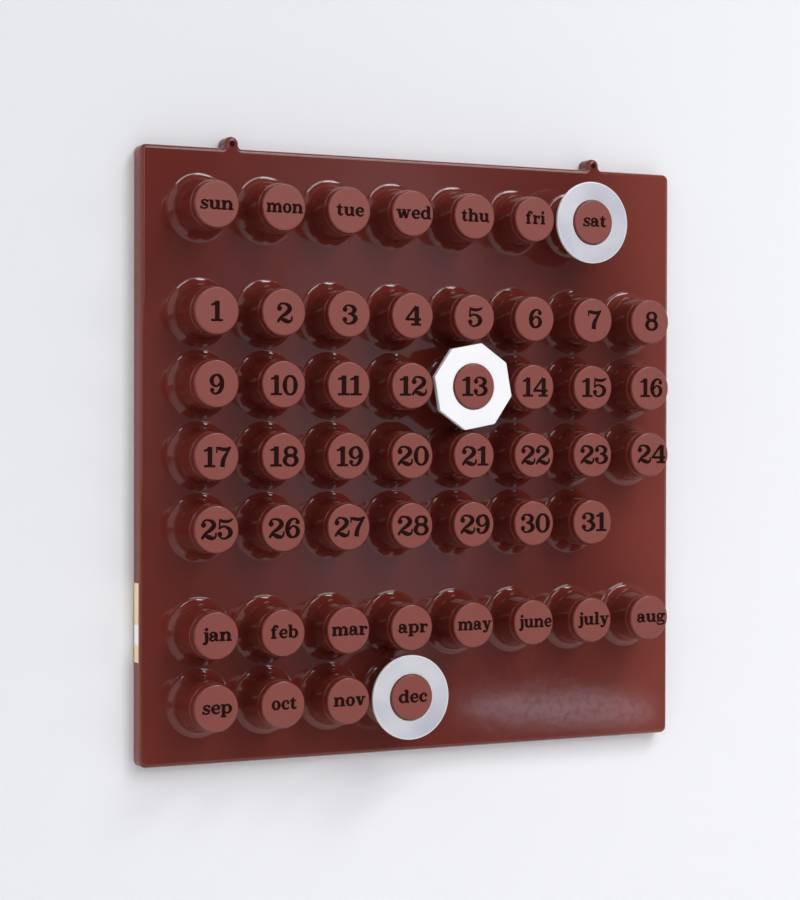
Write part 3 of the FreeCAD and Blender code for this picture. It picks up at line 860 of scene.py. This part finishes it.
def makeOctagonRing(name, across, up):
    r = ringLook
    letGo()
    bpy.ops.mesh.primitive_circle_add(vertices=r["sides"], radius=r["octagon"] * mm,
                                      location=(0, r["front"] * mm, 0),
                                      rotation=(math.pi / 2, math.radians(r["octagonTurn"]), 0))
    outline = bpy.context.object
    settle(outline)
    startEdit(outline, "VERT")
    bpy.ops.mesh.select_all(action="SELECT")
    cut = r["octagonCorner"] * math.tan(math.pi / r["sides"])  # how much of each side the corner takes
    bpy.ops.mesh.bevel(offset=cut * mm, segments=r["cornerSteps"], affect="VERTICES")
    endEdit()
    letGo()
    bpy.ops.mesh.primitive_circle_add(vertices=r["boreCorners"], radius=r["bore"] * mm,
                                      location=(0, r["front"] * mm, 0), rotation=(math.pi / 2, 0, 0))
    bore = bpy.context.object
    settle(bore)
    ring = joinAll([outline, bore], name)
    startEdit(ring, "EDGE")
    bpy.ops.mesh.select_all(action="SELECT")
    bpy.ops.mesh.fill(use_beauty=True)
    bpy.ops.mesh.select_mode(type="FACE")
    bpy.ops.mesh.select_all(action="SELECT")
    bpy.ops.mesh.extrude_region_move(
        TRANSFORM_OT_translate={"value": (0, (r["back"] - r["front"]) * mm, 0)})
    bpy.ops.mesh.select_all(action="SELECT")
    bpy.ops.mesh.normals_make_consistent(inside=False)
    bpy.ops.mesh.select_mode(type="EDGE")
    sharp = math.radians(r["sharpFrom"])
    pick("edges", lambda e: len(e.link_faces) == 2 and e.calc_face_angle(0) > sharp)
    bpy.ops.mesh.bevel(offset=r["octagonEdge"] * mm, segments=r["edgeSteps"], affect="EDGES")
    bpy.ops.mesh.select_mode(type="FACE")
    for facing in (-1, 1):
        pick("faces", lambda f: f.normal.y * facing > squarely)
        bpy.ops.mesh.inset(thickness=r["faceInset"] * mm, use_even_offset=True)
    bpy.ops.mesh.select_all(action="SELECT")
    bpy.ops.transform.translate(value=(across * mm, 0, (up - r["drop"]) * mm))
    endEdit()
    takeUp(ring)
    bpy.ops.object.shade_smooth_by_angle(angle=smoothUnder)
    return ring


milkyLook = {
    "tones": ((212, 213, 225), (238, 238, 245)), "clouds": (24, 2), "rough": 0.3,
    "paintedHighlightTone": (255, 255, 255), "paintedHighlightShare": 0.95,
    "outerFrom": 26.8, "outerTo": 27.4, "innerFrom": 16.6, "innerTo": 16.1,
    "clear": 0.28, "milk": 0.3, "milkDepth": (0.004, 0.004, 0.0045),
}

whiteLook = {"tones": ((246, 246, 248), (250, 250, 252)), "clouds": (30, 3), "rough": 0.32}

# what both plastics of the rings share
grainLook = {"grain": (900, 2), "grainRough": 0.08, "bump": 0.05, "bumpDepth": 0.2, "ior": 1.45}


def ringPlastic(finish, colour, rough, more):
    g = grainLook
    grain = finish.noise(*g["grain"])
    return finish.close({"Base Color": colour, "Roughness": rough + grain * g["grainRough"],
                         "Normal": finish.bump(grain, g["bump"], g["bumpDepth"] * mm),
                         "IOR": g["ior"], **more})


def milkyFinish(across, up):
    # paler at both rims: a painted highlight along the ring's outer edge and the edge of its bore
    k = milkyLook
    finish = Finish("milkyPlastic")
    centred = finish.node("ShaderNodeMapping", None, {
        "Vector": finish.place, "Location": (-across * mm, 0, (ringLook["drop"] - up) * mm),
        "Scale": (1, 0, 1)})
    reach = finish.node("ShaderNodeVectorMath", {"operation": "LENGTH"}, {0: centred}, out=1)
    # painted highlight: masks for the ring's outer edge and the edge of its bore
    paintedOuterHighlight = finish.ranged(reach, k["outerFrom"] * mm, k["outerTo"] * mm)
    paintedInnerHighlight = finish.ranged(reach, k["innerFrom"] * mm, k["innerTo"] * mm)
    body = finish.between(finish.clouds(*k["clouds"]), k["tones"])
    colour = finish.mixed((paintedOuterHighlight + paintedInnerHighlight) * k["paintedHighlightShare"], body, solid(*k["paintedHighlightTone"]))
    return ringPlastic(finish, colour, k["rough"], {
        "Transmission Weight": k["clear"], "Subsurface Weight": k["milk"],
        "Subsurface Radius": k["milkDepth"], "Subsurface Scale": 1})


def whiteFinish():
    k = whiteLook
    finish = Finish("whitePlastic")
    colour = finish.between(finish.clouds(*k["clouds"]), k["tones"])
    return ringPlastic(finish, colour, k["rough"], {})


weekdayPeg = pegAt(mouldingLook["weekdayRow"], *ringLook["weekdayPeg"])
datePeg = pegAt(mouldingLook["dateRow"], *ringLook["datePeg"])
monthPeg = pegAt(mouldingLook["monthRow"], *ringLook["monthPeg"])
weekdayRing = makeRoundRing("weekday_marker", *weekdayPeg)
monthRing = makeRoundRing("month_marker", *monthPeg)
dateRing = makeOctagonRing("date_marker", *datePeg)
for ring, body, material, slot in (
        (weekdayRing, "weekday_ring", milkyFinish(*weekdayPeg), "milky_ring"),
        (dateRing, "date_ring", whiteFinish(), "white_ring"),
        (monthRing, "month_ring", milkyFinish(*monthPeg), "milky_ring")):
    dress(ring, material)
    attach(ring, body)
    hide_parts(body)
print("stage: rings made")


# the sticker on the left side

labelLook = {
    "gold": ((240, 208, 150), (250, 230, 186)), "paper": ((246, 245, 242), (252, 251, 248)),
    "bandTop": 0.545, "bandFoot": 0.876, "fade": (500, 3), "rough": 0.45, "fadeRough": 0.1,
    "bump": 0.08, "bumpDepth": 0.1,
}


def labelFinish():
    # gold with one pale band; drop is 0 at the sticker's top and 1 at its foot
    k = labelLook
    finish = Finish("agedSticker")
    low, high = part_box("side_label")
    drop = finish.ranged(finish.axis("Z"), high[2], low[2])
    fade = finish.noise(*k["fade"])
    band = (drop > k["bandTop"]) * (1 - (drop > k["bandFoot"]))
    colour = finish.mixed(band, finish.between(fade, k["gold"]), finish.between(fade, k["paper"]))
    return finish.close({"Base Color": colour, "Roughness": k["rough"] + fade * k["fadeRough"],
                         "Normal": finish.bump(fade, k["bump"], k["bumpDepth"] * mm)})


dress(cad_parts["side_label"], labelFinish())
print("stage: sticker dressed")


# wall, floor and light

# in metres; the wall grows paler to the right and downwards, from wallFrom to wallTo: painted light on
# the wall
stageLook = {
    "spread": 12, "wallAt": 0.0125, "floorAt": -1.35, "world": (0.175, 0.178, 0.188),
    "wallPaintedLightTones": ((231, 232, 234), (248, 248, 251)), "wallFrom": -0.6, "wallTo": 1.15,
    "paintedLightDrop": 1.3, "wallPatches": (1.2, 2), "patchShare": 0.1,
    "floorTones": ((228, 228, 226), (236, 236, 234)), "floorPatches": (2, 3), "floorRough": 0.6,
}

# name, shape, place, aim, size, power, colour
lampLook = [
    ("lampKey", "RECTANGLE", (1.2, -2.8, 1.4), (0, 0, -0.2), (1.4, 1.4), 26, (1, 0.985, 0.985)),
    ("lampRight", "RECTANGLE", (3, -2.1, 0), (0.1, 0, -0.3), (1.2, 1.2), 9, (1, 0.96, 0.95)),
    ("lampWindow", "RECTANGLE", (2, -2.6, 3.9), (0, 0, -0.2), (1.7, 0.9), 34, (0.94, 0.96, 1)),
    ("lampCeiling", "RECTANGLE", (0.6, -2.45, 2.6), (-0.4, 0, -0.2), (3.6, 0.5), 44, (0.93, 0.94, 1)),
    ("lampFront", "RECTANGLE", (-0.1, -3.2, 0.6), (0, 0, -0.2), (0.7, 1), 7, (1, 0.99, 0.99)),
    ("lampLeft", "RECTANGLE", (-3.2, -2, 1.6), (0, 0, 0.1), (4.6, 4.2), 48, (1, 1, 1)),
    ("lampFar", "ELLIPSE", (1.24, -2.6, -0.14), (0.05, 0, -0.2), (0.42, 0.98), 0.33, (0.75, 0.87, 1)),
    ("lampFarther", "ELLIPSE", (1.23, -2.65, -0.14), (0.05, 0, -0.2), (0.7, 1.1), 0.42, (0.75, 0.87, 1)),
    ("lampFaint", "ELLIPSE", (1.26, -2.7, -0.14), (0.05, 0, -0.2), (0.95, 1.2), 0.34, (0.77, 0.87, 1)),
    ("lampLow", "ELLIPSE", (1.63, -2.6, -0.76), (0.1, 0, -0.36), (0.4, 0.06), 0.2, (0.85, 0.87, 1)),
    ("lampBehind", "RECTANGLE", (0, 2.4, 0.2), (0, 0, -0.2), (2, 2), 45, (1, 1, 1)),
]


def wallFinish():
    # the wall shows from the front only and lets lampBehind through, so that the calendar's
    # open back can be looked at
    k = stageLook
    finish = Finish("paleWall")
    # painted light: the wall's colour grows paler to the right and downwards
    paintedLightSlant = finish.axis("X") - finish.axis("Z") * k["paintedLightDrop"]
    patched = paintedLightSlant + finish.noise(*k["wallPatches"]) * k["patchShare"]
    colour = finish.between(finish.ranged(patched, k["wallFrom"], k["wallTo"]), k["wallPaintedLightTones"])
    plaster = finish.node("ShaderNodeBsdfDiffuse", None, {"Color": colour})
    clear = finish.node("ShaderNodeBsdfTransparent")
    behind = finish.node("ShaderNodeNewGeometry", out="Backfacing")
    lampRay = finish.node("ShaderNodeLightPath", out="Is Shadow Ray")
    passing = behind.maths("MAXIMUM", behind, lampRay)
    through = finish.node("ShaderNodeMixShader", None, {"Fac": passing, 1: plaster, 2: clear})
    finish.node("ShaderNodeOutputMaterial", None, {"Surface": through})
    return finish.material


def floorFinish():
    k = stageLook
    finish = Finish("paleFloor")
    colour = finish.between(finish.noise(*k["floorPatches"]), k["floorTones"])
    return finish.close({"Base Color": colour, "Roughness": k["floorRough"]})


def makeStage():
    k = stageLook
    letGo()
    bpy.ops.mesh.primitive_plane_add(size=k["spread"], location=(0, k["wallAt"], 0),
                                     rotation=(math.pi / 2, 0, 0))
    wall = bpy.context.object
    wall.name = "wall"
    settle(wall)
    dress(wall, wallFinish())
    bpy.ops.mesh.primitive_plane_add(size=k["spread"], location=(0, 0, k["floorAt"]))
    floor = bpy.context.object
    floor.name = "floor"
    settle(floor)
    dress(floor, floorFinish())
    for name, shape, place, aim, size, power, colour in lampLook:
        letGo()
        bpy.ops.object.light_add(type="AREA", location=place)
        lamp = bpy.context.object
        lamp.name = name
        lamp.data.shape = shape
        lamp.data.size = size[0]
        lamp.data.size_y = size[1]
        lamp.data.energy = power
        lamp.data.color = colour
        lamp.rotation_euler = (Vector(aim) - Vector(place)).to_track_quat("-Z", "Y").to_euler()
    world = bpy.data.worlds.new("room")
    bpy.context.scene.world = world
    world.use_nodes = True
    world.node_tree.nodes["Background"].inputs[0].default_value = (*k["world"], 1)
    bpy.context.scene.view_settings.view_transform = "Standard"


makeStage()
print("stage: wall, floor and lamps set")

letGo()
